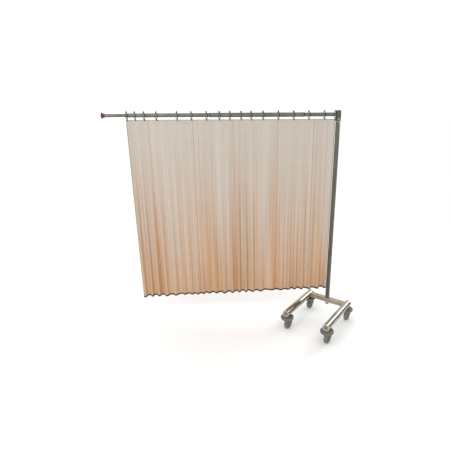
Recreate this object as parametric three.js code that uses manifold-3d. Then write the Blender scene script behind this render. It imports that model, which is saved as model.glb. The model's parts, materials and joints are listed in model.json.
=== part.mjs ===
// Mobile curtain screen: a square mast on a rolling base, a telescopic arm that swivels on the mast
// head, and a pleated curtain on rings. Millimetres, +Z up.
//
// The model is drawn about the mast axis, with z = 0 on the floor and the arm along -X. The base is
// turned under the arm. The finished group is moved so that its origin is the centre of its
// bounding box, on the floor.
import * as THREE from "three";
import { mergeVertices } from "three/addons/utils/BufferGeometryUtils.js";
import Module from "manifold-3d";

const wasm = await Module();
wasm.setup();

// ---- driving dimensions ------------------------------------------------------------------------
const GAP = 0.3; // between pieces that touch
const SLIP = 0.3; // radial room of a shaft that turns or slides
const TUBE = 28; // sides of the legs and the arm's tubes
const ROUND = 20; // sides of the other large round pieces
const SMALL = 12; // sides of bolts and pins

// casters: the hood is sized and placed by the wheel, and the pedal by the hood
const CASTER = { inset: 28, trail: 18, wheelRadius: 50, wheelWidth: 28 };
const CASTER_TURN = THREE.MathUtils.degToRad(-5.2); // of each caster from the legs' line, at rest
const hoodUnder = 2 * CASTER.wheelRadius + 11;
const HOOD = {
  radius: CASTER.wheelRadius + 6, skirt: 4, bell: 12, edge: 16,
  under: hoodUnder, rimHeight: hoodUnder - 15, shoulder: hoodUnder + 8, top: hoodUnder + 16,
};
const CHEEK = { gap: 3.5, thickness: 4, endRadius: 11, front: 12, back: HOOD.radius - 22 };
const AXLE = { radius: 4, headRadius: 8, headLength: 4 };
const PEDAL = {
  width: 30, pivotBack: HOOD.radius - 12, pivotHeight: HOOD.under + 6, pinRadius: 2, pinLength: 3,
  tip: HOOD.radius + 19, slotAhead: 7, slotLength: 40,
};

// base: the legs lie on the casters' collars
const BASE_TURN = THREE.MathUtils.degToRad(54.2); // from the arm's line to the legs' rear direction
const LEG = { radius: 30, wall: 3, ahead: 442, behind: 38, spread: 372 };
const CROSSBAR = { side: 40, wall: 2, corner: 3 };
const legUnder = HOOD.top + 4;
const legAxis = legUnder + LEG.radius;
const crossbarTop = legAxis + CROSSBAR.side / 2;
const crossbarUnder = legAxis - CROSSBAR.side / 2;
const STEM = {
  radius: 6, flangeRadius: 10, flange: 3.5, collarRadius: 17, collarTop: crossbarUnder - 4,
  nutRadius: 11, nutLow: legUnder + LEG.wall + 3, nutHeight: 9, top: legUnder + 22,
};
const PLUG = { flange: 4, depth: 14, screwRadius: 5, screwDepth: 3 };

// arm: root and middle tubes are alike, and the other tubes, the rings and the knob follow them
const ARM_HEIGHT = 1808;
const ARM_RADIUS = 15.5;
const ROOT_TUBE = { radius: ARM_RADIUS, wall: 1.2, showing: 248, overlap: 120 };
const SLEEVE = { radius: ARM_RADIUS + 2, wall: 1, length: 756 };
const MID_TUBE = { radius: ARM_RADIUS, wall: 1.2, showing: 664, overlap: 150 };
const TIP_TUBE = { radius: ARM_RADIUS - 3, wall: 1.2, showing: 168, overlap: 250 };
const BUSH = { flange: 8, depth: 20 };
const END_KNOB = {
  radius: TIP_TUBE.radius + 12.5, neckRadius: TIP_TUBE.radius + 3.5, faceRadius: TIP_TUBE.radius + 6.5,
  length: 26, rim: 6,
};

// mast and head: the head is placed by the arm that goes through it, and the mast ends below it
const HEAD = { radius: ARM_RADIUS + 6.5, height: 72, overArm: 4.3, capHeight: 13, socketDepth: 32 };
const LOCK = { radius: 7, length: 10, shankRadius: 3, height: 16, flutes: 8 };
const headTop = ARM_HEIGHT + ARM_RADIUS + HEAD.overArm;
const headLow = headTop - HEAD.height;
const SPIGOT = {
  depth: 40, flange: 3.2, pinRadius: 10, pinHeight: ARM_HEIGHT - ARM_RADIUS - headLow - 8.7,
};
const MAST = { side: 30, wall: 2, corner: 3, top: headLow - SPIGOT.flange - 2 * GAP };
const FOOT = { plugHeight: 34, boltRadius: 5, nutRadius: 19, nutHeight: 27 };

// a ring is wide enough to pass the sleeve while it is turned as far as the one at the tip
const RING = { wire: 2.5, room: 0.5138, yawAtMast: 12, yawAtTip: 34, tipYawPower: 2 };
const ringClear = SLEEVE.radius + RING.wire + SLIP;
const ringRadius = ringClear / Math.cos(THREE.MathUtils.degToRad(RING.yawAtTip)) + RING.room;
const CREST = { height: 10.5, foot: 14, tip: 5, thickness: 4 }; // the latch on top of a ring
const HOOK = { wire: 1.5, startAngle: THREE.MathUtils.degToRad(20), drop: 13, curl: 2.5 };
// room between one ring and the next, from the arm's tip to the mast, when the arm is as drawn
const RING_ROOM = [64, 72, 98, 164, 114, 121, 103, 83, 90, 80, 95, 122, 122, 122, 123, 87];

const CURTAIN = {
  past: 8, underRings: 0.5, hemAtHead: 281, hemAtTip: 204, thickness: 1.2, step: 14, rows: 1,
  pleat: 68, topDepth: 1.8, hemDepth: 17,
};

// ---- materials ---------------------------------------------------------------------------------
const paint = (color, roughness, metalness) =>
  new THREE.MeshStandardMaterial({ color, roughness, metalness });
const FINISH = {
  armTube: paint(0x8b8f7c, 0.35, 0.9),
  mastSteel: paint(0x77766a, 0.4, 0.8),
  legChrome: paint(0xcfc9b4, 0.15, 1),
  crossbarSteel: paint(0xb3a98a, 0.35, 0.9),
  plug: paint(0xa89a80, 0.5, 0.2),
  zinc: paint(0x9a998e, 0.35, 0.9),
  casterHousing: paint(0x77786b, 0.6, 0),
  casterWheel: paint(0x6d6f64, 0.7, 0),
  ring: paint(0x3c3d38, 0.5, 0),
  bush: paint(0x33342f, 0.6, 0),
  knob: paint(0x7a2533, 0.35, 0),
  curtain: paint(0xd8b08c, 0.9, 0),
};

// ---- helpers -----------------------------------------------------------------------------------
function solidOf(geometry) {
  const bare = geometry.clone();
  bare.deleteAttribute("normal");
  bare.deleteAttribute("uv");
  const merged = mergeVertices(bare, 1e-4);
  return new wasm.Manifold(
    new wasm.Mesh({
      numProp: 3,
      vertProperties: new Float32Array(merged.attributes.position.array),
      triVerts: new Uint32Array(merged.index.array),
    }),
  );
}

function geometryOf(solid) {
  const mesh = solid.getMesh();
  const geometry = new THREE.BufferGeometry();
  geometry.setAttribute("position", new THREE.BufferAttribute(mesh.vertProperties, 3));
  geometry.setIndex(new THREE.BufferAttribute(mesh.triVerts, 1));
  return geometry;
}

function joined(...geometries) {
  return geometryOf(geometries.map(solidOf).reduce((sum, next) => sum.add(next)));
}

function cut(geometry, ...tools) {
  return geometryOf(tools.map(solidOf).reduce((rest, tool) => rest.subtract(tool), solidOf(geometry)));
}

// A profile of [radius, height] points turned about the Z axis.
function turned(profile, sides = ROUND) {
  const points = profile.map(([radius, height]) => new THREE.Vector2(radius, height));
  return new THREE.LatheGeometry(points, sides).rotateX(Math.PI / 2);
}

function rod(radius, low, high, sides = SMALL) {
  return turned([[0, low], [radius, low], [radius, high], [0, high]], sides);
}

function pipe(outer, inner, low, high, sides = TUBE) {
  return turned([[inner, low], [outer, low], [outer, high], [inner, high], [inner, low]], sides);
}

// Turns a piece drawn along +Z to lie along -X, so that its height becomes distance from the mast.
const alongArm = (geometry) => geometry.rotateY(-Math.PI / 2).translate(0, 0, ARM_HEIGHT);
const alongX = (geometry) => geometry.rotateY(Math.PI / 2);
const alongY = (geometry) => geometry.rotateX(Math.PI / 2);

function squareOutline(side, corner, target = new THREE.Shape()) {
  const flat = side / 2 - corner;
  target.moveTo(side / 2, -flat);
  target.absarc(flat, flat, corner, 0, Math.PI / 2);
  target.absarc(-flat, flat, corner, Math.PI / 2, Math.PI);
  target.absarc(-flat, -flat, corner, Math.PI, 1.5 * Math.PI);
  target.absarc(flat, -flat, corner, 1.5 * Math.PI, 2 * Math.PI);
  return target;
}

function squareBar(side, corner, low, high) {
  const settings = { depth: high - low, bevelEnabled: false, curveSegments: 3 };
  return new THREE.ExtrudeGeometry(squareOutline(side, corner), settings).translate(0, 0, low);
}

function squareTube({ side, wall, corner }, low, high) {
  const outline = squareOutline(side, corner);
  outline.holes.push(squareOutline(side - 2 * wall, corner - wall + 0.5, new THREE.Path()));
  const settings = { depth: high - low, bevelEnabled: false, curveSegments: 3 };
  return new THREE.ExtrudeGeometry(outline, settings).translate(0, 0, low);
}

function piece(name, geometry, finish, parent) {
  const mesh = new THREE.Mesh(geometry, finish);
  mesh.name = name;
  parent.add(mesh);
  return mesh;
}

// ---- base --------------------------------------------------------------------------------------
const stemSeat = HOOD.under + 1;
const casterLines = [
  { end: "front", along: -(LEG.ahead - CASTER.inset) },
  { end: "rear", along: LEG.behind - CASTER.inset },
];

// The leg's outside, a little larger, to cut saddles with.
function legCutter(across) {
  const past = 60;
  const cylinder = rod(LEG.radius + GAP, -LEG.ahead - past, LEG.behind + past, TUBE);
  return alongX(cylinder).translate(0, across, legAxis);
}

function leg() {
  const tube = alongX(pipe(
    LEG.radius, LEG.radius - LEG.wall, -LEG.ahead + PLUG.flange + GAP, LEG.behind - PLUG.flange - GAP,
  )).translate(0, 0, legAxis);
  const holes = casterLines.map(({ along }) =>
    rod(STEM.radius + SLIP, legUnder - 5, legUnder + LEG.wall + 3).translate(along, 0, 0));
  return cut(tube, ...holes);
}

function legPlug() {
  const inside = LEG.radius - LEG.wall - GAP;
  const edge = LEG.radius - 0.5;
  const screw = PLUG.screwRadius;
  return turned([
    [0, -PLUG.depth], [inside, -PLUG.depth], [inside, 0], [edge, 0], [edge, PLUG.flange - 1.2],
    [edge - 1.2, PLUG.flange], [screw, PLUG.flange], [screw, PLUG.flange - PLUG.screwDepth],
    [0, PLUG.flange - PLUG.screwDepth],
  ]);
}

function crossbar() {
  const reach = LEG.spread / 2;
  const tube = squareTube(CROSSBAR, -reach, reach);
  const placed = alongY(tube).translate(0, 0, legAxis);
  const boltHole = rod(FOOT.boltRadius + GAP, crossbarUnder - 5, crossbarTop + 5);
  return cut(placed, legCutter(reach), legCutter(-reach), boltHole);
}

function casterStem() {
  const { radius, flangeRadius, flange, collarRadius, collarTop, nutRadius, nutLow, nutHeight, top } = STEM;
  const shaft = turned([
    [0, stemSeat], [flangeRadius, stemSeat], [flangeRadius, stemSeat + flange],
    [radius, stemSeat + flange], [radius, HOOD.top + GAP], [collarRadius, HOOD.top + GAP],
    [collarRadius, collarTop], [radius, collarTop], [radius, top], [0, top],
  ], SMALL);
  const bolt = rod(radius, HOOD.top, top);
  const nut = rod(nutRadius, nutLow, nutLow + nutHeight, 6);
  return joined(cut(shaft, legCutter(0)), bolt, nut);
}

// ---- caster, drawn about its swivel axis, with the wheel trailing towards +X ---------------------
const cheekInside = CASTER.wheelWidth / 2 + CHEEK.gap;
const cheekOutside = cheekInside + CHEEK.thickness;

function casterHousing() {
  const { radius, skirt, bell, edge, under, rimHeight, shoulder, top } = HOOD;
  const rim = radius - bell;
  const bore = STEM.radius + SLIP;
  const seatRadius = STEM.flangeRadius + GAP;
  const seatTop = stemSeat + STEM.flange + GAP;
  const dome = new THREE.EllipseCurve(radius - edge, shoulder, edge, top - shoulder, 0, Math.PI / 2)
    .getPoints(3).map((point) => [point.x, point.y]);
  const hood = turned([
    [bore, seatTop], [seatRadius, seatTop], [seatRadius, under], [rim - skirt - 1, under],
    [rim - skirt, rimHeight], [rim, rimHeight], [radius - 1, rimHeight + bell], ...dome,
    [bore, top], [bore, seatTop],
  ]);
  const outline = new THREE.Shape();
  outline.moveTo(-CHEEK.front, under + 2);
  outline.lineTo(-CHEEK.front, rimHeight);
  outline.absarc(CASTER.trail, CASTER.wheelRadius, CHEEK.endRadius, Math.PI, 2 * Math.PI);
  outline.lineTo(CHEEK.back, rimHeight);
  outline.lineTo(CHEEK.back, under + 2);
  const cheeks = [-cheekOutside, cheekInside].map((side) =>
    new THREE.ExtrudeGeometry(outline, { depth: CHEEK.thickness, bevelEnabled: false, curveSegments: 4 })
      .rotateX(Math.PI / 2)
      .translate(0, side + CHEEK.thickness, 0));
  const axleHole = alongY(rod(AXLE.radius + GAP, -cheekOutside - 5, cheekOutside + 5))
    .translate(CASTER.trail, 0, CASTER.wheelRadius);
  const slotWidth = PEDAL.width + 2 * SLIP;
  const slot = new THREE.BoxGeometry(PEDAL.slotLength, slotWidth, 60)
    .translate(PEDAL.pivotBack - PEDAL.slotAhead + PEDAL.slotLength / 2, 0, under + 10);
  const pinHole = alongY(rod(PEDAL.pinRadius + SLIP, -PEDAL.width / 2 - 5, PEDAL.width / 2 + 5, 8))
    .translate(PEDAL.pivotBack, 0, PEDAL.pivotHeight);
  return cut(joined(hood, ...cheeks), axleHole, slot, pinHole);
}

function casterWheel() {
  const { wheelRadius: radius, wheelWidth: width } = CASTER;
  const half = width / 2;
  const bore = AXLE.radius + SLIP;
  const upper = [[bore, half], [radius - 15, half - 1], [radius - 4, half - 2], [radius, half - 7]];
  const lower = upper.map(([r, h]) => [r, -h]);
  return alongY(turned([...lower, ...upper.reverse(), lower[0]], ROUND))
    .translate(CASTER.trail, 0, CASTER.wheelRadius);
}

function axle() {
  const head = cheekOutside + GAP;
  const end = head + AXLE.headLength;
  const { radius, headRadius } = AXLE;
  return alongY(turned([
    [0, -end], [headRadius - 2, -end], [headRadius, -end + 2], [headRadius, -head], [radius, -head],
    [radius, head], [headRadius, head], [headRadius, end - 2], [headRadius - 2, end], [0, end],
  ], SMALL)).translate(CASTER.trail, 0, CASTER.wheelRadius);
}

function brakePedal() {
  const { pivotBack: back, pivotHeight: high, width, tip } = PEDAL;
  const outline = new THREE.Shape();
  outline.moveTo(back - 5, high - 4);
  outline.lineTo(back + 6, high - 8);
  outline.lineTo(tip, high - 16);
  outline.quadraticCurveTo(tip + 3, high - 14, tip, high - 11);
  outline.lineTo(back + 9, high + 1);
  outline.quadraticCurveTo(back - 3, high + 7, back - 5, high - 4);
  const plate = new THREE.ExtrudeGeometry(outline, { depth: width, bevelEnabled: false, curveSegments: 4 })
    .rotateX(Math.PI / 2)
    .translate(0, width / 2, 0);
  const reach = width / 2 + PEDAL.pinLength;
  const pin = alongY(rod(PEDAL.pinRadius, -reach, reach, 8)).translate(back, 0, high);
  return joined(plate, pin);
}

function buildBase() {
  const base = new THREE.Group();
  base.rotation.z = BASE_TURN;
  for (const [side, across] of [["left", LEG.spread / 2], ["right", -LEG.spread / 2]]) {
    const line = new THREE.Group();
    line.position.y = across;
    base.add(line);
    piece(`leg_${side}`, leg(), FINISH.legChrome, line);
    const front = alongX(legPlug()).rotateY(Math.PI);
    piece(`leg_plug_front_${side}`, front, FINISH.plug, line)
      .position.set(-LEG.ahead + PLUG.flange, 0, legAxis);
    piece(`leg_plug_rear_${side}`, alongX(legPlug()), FINISH.plug, line)
      .position.set(LEG.behind - PLUG.flange, 0, legAxis);
    for (const { end, along } of casterLines) {
      piece(`caster_stem_${end}_${side}`, casterStem(), FINISH.zinc, line).position.x = along;
      const caster = new THREE.Group();
      caster.position.x = along;
      caster.rotation.z = CASTER_TURN;
      line.add(caster);
      piece(`caster_housing_${end}_${side}`, casterHousing(), FINISH.casterHousing, caster);
      piece(`caster_wheel_${end}_${side}`, casterWheel(), FINISH.casterWheel, caster);
      piece(`caster_axle_${end}_${side}`, axle(), FINISH.zinc, caster);
      piece(`brake_pedal_${end}_${side}`, brakePedal(), FINISH.casterHousing, caster);
    }
  }
  piece("crossbar", crossbar(), FINISH.crossbarSteel, base);
  return base;
}

// ---- mast --------------------------------------------------------------------------------------
function buildMast() {
  const mast = new THREE.Group();
  mast.rotation.z = BASE_TURN;
  const foot = crossbarTop + GAP;
  const inside = MAST.side - 2 * MAST.wall - 2 * GAP;
  piece("mast_tube", squareTube(MAST, foot, MAST.top), FINISH.mastSteel, mast);

  const footPlug = cut(
    squareBar(inside, 1, foot, foot + FOOT.plugHeight),
    rod(FOOT.boltRadius + GAP, foot - 5, foot + FOOT.plugHeight - 4),
  );
  piece("mast_foot_plug", footPlug, FINISH.zinc, mast);

  const { boltRadius, nutRadius, nutHeight } = FOOT;
  const nutTop = crossbarUnder - GAP;
  const nutBottom = nutTop - nutHeight;
  const boltTop = foot + FOOT.plugHeight - 4 - 2 * GAP;
  piece("mast_bolt", turned([
    [0, nutBottom], [nutRadius * 0.6, nutBottom], [nutRadius * 0.9, nutBottom + 3],
    [nutRadius, nutBottom + 8], [nutRadius, nutTop], [boltRadius, nutTop], [boltRadius, boltTop],
    [0, boltTop],
  ], 24), FINISH.zinc, mast);

  const pinTop = MAST.top + GAP + SPIGOT.flange + SPIGOT.pinHeight;
  const spigot = joined(
    squareBar(inside, 1, MAST.top - SPIGOT.depth, MAST.top + GAP + 0.1),
    squareBar(MAST.side, MAST.corner, MAST.top + GAP, MAST.top + GAP + SPIGOT.flange),
    rod(SPIGOT.pinRadius, MAST.top + GAP + 1, pinTop, 24),
  );
  piece("pivot_spigot", spigot, FINISH.zinc, mast);
  return mast;
}

// ---- head --------------------------------------------------------------------------------------
const socketEnd = HEAD.radius - HEAD.socketDepth; // negative: past the mast axis

function swivelHead() {
  const body = turned([
    [0, headLow], [HEAD.radius - 1, headLow], [HEAD.radius, headLow + 1], [HEAD.radius, headTop],
    [0, headTop],
  ]);
  const pivotBore = rod(SPIGOT.pinRadius + SLIP, headLow - 5, headLow + SPIGOT.pinHeight + SLIP, 24);
  const socket = alongArm(rod(ROOT_TUBE.radius + GAP, socketEnd, HEAD.radius + 10, TUBE));
  const lockHole = alongY(rod(LOCK.shankRadius + SLIP, SPIGOT.pinRadius - 3, HEAD.radius + 5))
    .translate(0, 0, headLow + LOCK.height);
  return cut(body, pivotBore, socket, lockHole);
}

function headCap() {
  const low = headTop + GAP;
  const dome = new THREE.EllipseCurve(
    HEAD.radius - HEAD.capHeight, low + 2, HEAD.capHeight, HEAD.capHeight - 2, 0, Math.PI / 2,
  ).getPoints(6).map((point) => [point.x, point.y]);
  return turned([[0, low], [HEAD.radius, low], ...dome, [0, low + HEAD.capHeight]]);
}

function lockKnob() {
  const outline = new THREE.Shape();
  const steps = LOCK.flutes * 4;
  for (let i = 0; i < steps; i += 1) {
    const angle = (i / steps) * 2 * Math.PI;
    const radius = LOCK.radius - 0.5 + 0.5 * Math.cos(LOCK.flutes * angle);
    const move = i === 0 ? "moveTo" : "lineTo";
    outline[move](radius * Math.cos(angle), radius * Math.sin(angle));
  }
  const low = HEAD.radius + 2 * GAP;
  const grip = new THREE.ExtrudeGeometry(outline, { depth: LOCK.length, bevelEnabled: false })
    .translate(0, 0, low);
  const shank = rod(LOCK.shankRadius, SPIGOT.pinRadius + SLIP + 0.6, low + 1);
  return alongY(joined(grip, shank)).translate(0, 0, headLow + LOCK.height);
}

// ---- arm ---------------------------------------------------------------------------------------
const sleeveStart = HEAD.radius + ROOT_TUBE.showing;
const sleeveEnd = sleeveStart + SLEEVE.length;
const midEnd = sleeveEnd + MID_TUBE.showing;
const tipEnd = midEnd + TIP_TUBE.showing;

// A plastic guide in a tube's end: a flange as wide as the tube, and a thin sleeve inside it.
function bush(tube, shaftRadius) {
  const inner = shaftRadius + SLIP;
  const inside = tube.radius - tube.wall - SLIP;
  return [
    [inner, 0], [tube.radius, 0], [tube.radius, BUSH.flange], [inside, BUSH.flange],
    [inside, BUSH.flange + BUSH.depth], [inner, BUSH.flange + BUSH.depth], [inner, 0],
  ];
}

function buildArm() {
  const arm = new THREE.Group();
  const tube = ({ radius, wall }, low, high) => alongArm(pipe(radius, radius - wall, low, high));

  piece("arm_tube_root", tube(ROOT_TUBE, socketEnd + GAP, sleeveStart + ROOT_TUBE.overlap),
    FINISH.armTube, arm);
  piece("arm_sleeve", tube(SLEEVE, sleeveStart + BUSH.flange + GAP, sleeveEnd - BUSH.flange - GAP),
    FINISH.armTube, arm);
  piece("sleeve_bush_root", alongArm(turned(bush(SLEEVE, ROOT_TUBE.radius)).translate(0, 0, sleeveStart)),
    FINISH.bush, arm);
  const mirrored = (profile, end) => alongArm(turned(profile).rotateX(Math.PI).translate(0, 0, end));
  piece("sleeve_bush_tip", mirrored(bush(SLEEVE, MID_TUBE.radius), sleeveEnd), FINISH.bush, arm);
  piece("arm_tube_mid", tube(MID_TUBE, sleeveEnd - MID_TUBE.overlap, midEnd - BUSH.flange - GAP),
    FINISH.armTube, arm);
  piece("mid_bush", mirrored(bush(MID_TUBE, TIP_TUBE.radius), midEnd), FINISH.bush, arm);

  const socket = END_KNOB.length - END_KNOB.rim - 4;
  piece("arm_tube_tip", tube(TIP_TUBE, midEnd - TIP_TUBE.overlap, tipEnd + socket - GAP),
    FINISH.armTube, arm);
  const { radius, neckRadius, length, rim, faceRadius } = END_KNOB;
  const bore = TIP_TUBE.radius + GAP;
  const waist = 0.35 * length;
  piece("end_knob", alongArm(turned([
    [bore, 0], [neckRadius - 1, 0], [neckRadius, 1.5], [neckRadius + 0.8, waist], [radius - 1, length - rim],
    [radius, length - rim + 1.5], [radius, length - 3], [faceRadius, length], [0, length], [0, socket],
    [bore, socket], [bore, 0],
  ]).translate(0, 0, tipEnd)), FINISH.knob, arm);
  return arm;
}

// ---- rings and curtain ---------------------------------------------------------------------------
// The last ring is beside the head, the first on the middle tube's bush, the others in proportion.
const firstRing = midEnd - BUSH.flange / 2;
const lastRing = HEAD.radius + 4;
const ringPlaces = [firstRing];
const allRoom = RING_ROOM.reduce((sum, room) => sum + room);
for (const room of RING_ROOM) {
  ringPlaces.push(ringPlaces[ringPlaces.length - 1] - (room * (firstRing - lastRing)) / allRoom);
}

// How far below the arm's axis the centre of a ring hangs when it is turned by an angle, so that it
// rests on the widest tube. A turned ring is an oval seen along the arm, and an oval hangs lower.
const deepestHang = ringRadius - ringClear;
function hang(angle) {
  const halfWidth = ringRadius * Math.cos(angle);
  const sideways = Math.sqrt(halfWidth ** 2 - ringClear ** 2) * Math.tan(angle);
  return Math.min(deepestHang, sideways);
}

function ring(place) {
  const share = ((place - lastRing) / (firstRing - lastRing)) ** RING.tipYawPower;
  const yaw = THREE.MathUtils.degToRad(THREE.MathUtils.lerp(RING.yawAtMast, RING.yawAtTip, share));
  const centre = ARM_HEIGHT - hang(yaw);
  const loop = new THREE.TorusGeometry(ringRadius, RING.wire, 5, 18)
    .rotateY(Math.PI / 2)
    .rotateZ(yaw);
  const crest = new THREE.ExtrudeGeometry(new THREE.Shape([
    new THREE.Vector2(-CREST.foot / 2, ringRadius), new THREE.Vector2(CREST.foot / 2, ringRadius),
    new THREE.Vector2(CREST.tip / 2, ringRadius + CREST.height),
    new THREE.Vector2(-CREST.tip / 2, ringRadius + CREST.height),
  ]), { depth: CREST.thickness, bevelEnabled: false })
    .translate(0, 0, -CREST.thickness / 2)
    .rotateX(Math.PI / 2)
    .rotateZ(Math.PI / 2 + yaw);
  const { startAngle, drop, curl } = HOOK;
  const start = new THREE.Vector3(0, -ringRadius * Math.sin(startAngle), -ringRadius * Math.cos(startAngle))
    .applyAxisAngle(new THREE.Vector3(0, 0, 1), yaw);
  const below = (inward, down) => new THREE.Vector3(start.x, start.y + inward, start.z - down);
  const path = new THREE.CatmullRomCurve3([
    start, below(0, 0.45 * drop), below(0, 0.8 * drop), below(0.5 * curl, drop), below(curl, 0.85 * drop),
  ]);
  const section = new THREE.Shape().absarc(0, 0, HOOK.wire, 0, 2 * Math.PI);
  const hook = new THREE.ExtrudeGeometry(section, { extrudePath: path, steps: 5, curveSegments: 2 });
  return joined(loop, crest, hook).translate(-place, 0, centre);
}

// The curtain's own line seen from above: pleats of uneven width and depth.
function pleatLine(x) {
  const phase = x / CURTAIN.pleat + 0.32 * Math.sin(x / 173) + 0.21 * Math.sin(x / 67 + 1.3);
  const depth = 0.78 + 0.22 * Math.sin(x / 118 + 0.7);
  return depth * Math.sin(2 * Math.PI * phase);
}

// A thin sheet with pleats that deepen towards the hem, closed all round.
function curtain() {
  const { hemAtHead, hemAtTip, thickness, step, rows, topDepth, hemDepth } = CURTAIN;
  const [start, end] = [lastRing, firstRing + CURTAIN.past];
  const top = ARM_HEIGHT - deepestHang - ringRadius - RING.wire - CURTAIN.underRings;
  const columns = Math.round((end - start) / step);
  const positions = [];
  for (const face of [-0.5, 0.5]) {
    for (let row = 0; row <= rows; row += 1) {
      const depth = THREE.MathUtils.lerp(topDepth, hemDepth, row / rows);
      for (let column = 0; column <= columns; column += 1) {
        const share = column / columns;
        const x = THREE.MathUtils.lerp(start, end, share);
        const hem = THREE.MathUtils.lerp(hemAtHead, hemAtTip, share);
        const z = THREE.MathUtils.lerp(top, hem, row / rows);
        positions.push(-x, depth * pleatLine(x) + face * thickness, z);
      }
    }
  }
  const perFace = (rows + 1) * (columns + 1);
  const at = (face, row, column) => face * perFace + row * (columns + 1) + column;
  const index = [];
  const quad = (a, b, c, d) => index.push(a, b, c, a, c, d);
  for (let row = 0; row < rows; row += 1) {
    for (let column = 0; column < columns; column += 1) {
      quad(at(0, row, column), at(0, row, column + 1), at(0, row + 1, column + 1), at(0, row + 1, column));
      quad(at(1, row, column), at(1, row + 1, column), at(1, row + 1, column + 1), at(1, row, column + 1));
    }
    quad(at(0, row, 0), at(0, row + 1, 0), at(1, row + 1, 0), at(1, row, 0));
    quad(at(1, row, columns), at(1, row + 1, columns), at(0, row + 1, columns), at(0, row, columns));
  }
  for (let column = 0; column < columns; column += 1) {
    quad(at(0, 0, column), at(1, 0, column), at(1, 0, column + 1), at(0, 0, column + 1));
    quad(at(0, rows, column), at(0, rows, column + 1), at(1, rows, column + 1), at(1, rows, column));
  }
  const geometry = new THREE.BufferGeometry();
  geometry.setAttribute("position", new THREE.Float32BufferAttribute(positions, 3));
  geometry.setIndex(index);
  return geometry;
}

// ---- assembly ------------------------------------------------------------------------------------
const screen = new THREE.Group();
screen.add(buildBase(), buildMast());
const upper = buildArm();
piece("swivel_head", swivelHead(), FINISH.mastSteel, upper);
piece("head_cap", headCap(), FINISH.mastSteel, upper);
piece("lock_knob", lockKnob(), FINISH.zinc, upper);
ringPlaces.forEach((place, i) => {
  piece(`ring_${String(i + 1).padStart(2, "0")}`, ring(place), FINISH.ring, upper);
});
piece("curtain", curtain(), FINISH.curtain, upper);
screen.add(upper);

screen.updateMatrixWorld(true);
const box = new THREE.Box3().setFromObject(screen, true);
const middle = box.getCenter(new THREE.Vector3());
screen.position.set(-middle.x, -middle.y, -box.min.z);

export default screen;
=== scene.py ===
"""Rolling curtain screen: square mast, caster base, telescopic arm, rings and a pleated cloth.

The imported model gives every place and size. Each sub-assembly below is a class that reads its
place from the frame, builds its fine meshes and dresses them.
"""
from __future__ import annotations

import json
import logging
import math
from dataclasses import dataclass, field
from enum import Enum
from typing import Iterable, Optional, Sequence, Union

import bmesh
import bpy
import numpy as np
from mathutils import Matrix, Vector

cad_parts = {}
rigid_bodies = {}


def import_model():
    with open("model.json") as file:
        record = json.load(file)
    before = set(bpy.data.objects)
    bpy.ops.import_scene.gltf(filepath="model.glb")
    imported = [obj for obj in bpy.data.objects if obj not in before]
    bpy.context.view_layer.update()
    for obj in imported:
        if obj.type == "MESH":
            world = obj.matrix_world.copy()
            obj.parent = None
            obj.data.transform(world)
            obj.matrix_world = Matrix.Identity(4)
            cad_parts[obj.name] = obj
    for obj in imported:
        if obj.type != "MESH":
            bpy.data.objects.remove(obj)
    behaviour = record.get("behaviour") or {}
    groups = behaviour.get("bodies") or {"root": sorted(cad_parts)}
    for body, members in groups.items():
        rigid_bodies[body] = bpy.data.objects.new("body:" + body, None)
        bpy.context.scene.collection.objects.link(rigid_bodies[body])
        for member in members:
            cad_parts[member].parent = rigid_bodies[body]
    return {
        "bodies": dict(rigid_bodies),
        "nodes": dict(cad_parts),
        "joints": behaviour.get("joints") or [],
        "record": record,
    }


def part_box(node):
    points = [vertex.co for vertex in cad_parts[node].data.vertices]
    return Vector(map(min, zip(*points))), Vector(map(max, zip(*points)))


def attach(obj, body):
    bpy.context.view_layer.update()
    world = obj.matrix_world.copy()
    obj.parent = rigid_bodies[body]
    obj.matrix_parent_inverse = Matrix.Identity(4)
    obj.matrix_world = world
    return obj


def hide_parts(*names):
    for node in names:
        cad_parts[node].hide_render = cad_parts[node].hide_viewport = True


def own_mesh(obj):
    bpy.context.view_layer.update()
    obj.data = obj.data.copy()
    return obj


LOG = logging.getLogger("curtain_screen")
MM = 0.001
CORNERS = ("front_left", "rear_left", "front_right", "rear_right")

Profile = Sequence[tuple[float, float]]
Number = Union[float, "Wire"]
Part = tuple[list, list]  # vertices and faces


# ---- shader graphs -------------------------------------------------------------------------------
class Wire:
    """One output of a shader node, on which arithmetic adds Math nodes."""

    def __init__(self, graph: "Graph", socket: bpy.types.NodeSocket) -> None:
        """Keeps the socket and the graph it belongs to."""
        self.graph = graph
        self.socket = socket

    def _math(self, operation: str, *values: Number) -> "Wire":
        """Adds a Math node.

        Args:
            operation: the node's operation.
            values: its inputs, in order.

        Returns:
            The node's result.
        """
        return self.graph.add("ShaderNodeMath", {"operation": operation}, dict(enumerate(values)))

    def __add__(self, other: Number) -> "Wire":
        """The sum of two values."""
        return self._math("ADD", self, other)

    def __radd__(self, other: Number) -> "Wire":
        """The sum, with a number on the left."""
        return self._math("ADD", other, self)

    def __sub__(self, other: Number) -> "Wire":
        """The difference of two values."""
        return self._math("SUBTRACT", self, other)

    def __rsub__(self, other: Number) -> "Wire":
        """The difference, with a number on the left."""
        return self._math("SUBTRACT", other, self)

    def __mul__(self, other: Number) -> "Wire":
        """The product of two values."""
        return self._math("MULTIPLY", self, other)

    def __rmul__(self, other: Number) -> "Wire":
        """The product, with a number on the left."""
        return self._math("MULTIPLY", other, self)

    def __pow__(self, power: Number) -> "Wire":
        """The value raised to a power."""
        return self._math("POWER", self, power)

    def clamped(self) -> "Wire":
        """The value held between 0 and 1."""
        return self.graph.add("ShaderNodeClamp", {}, {"Value": self})

    def sine(self) -> "Wire":
        """The sine of the value."""
        return self._math("SINE", self)


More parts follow.
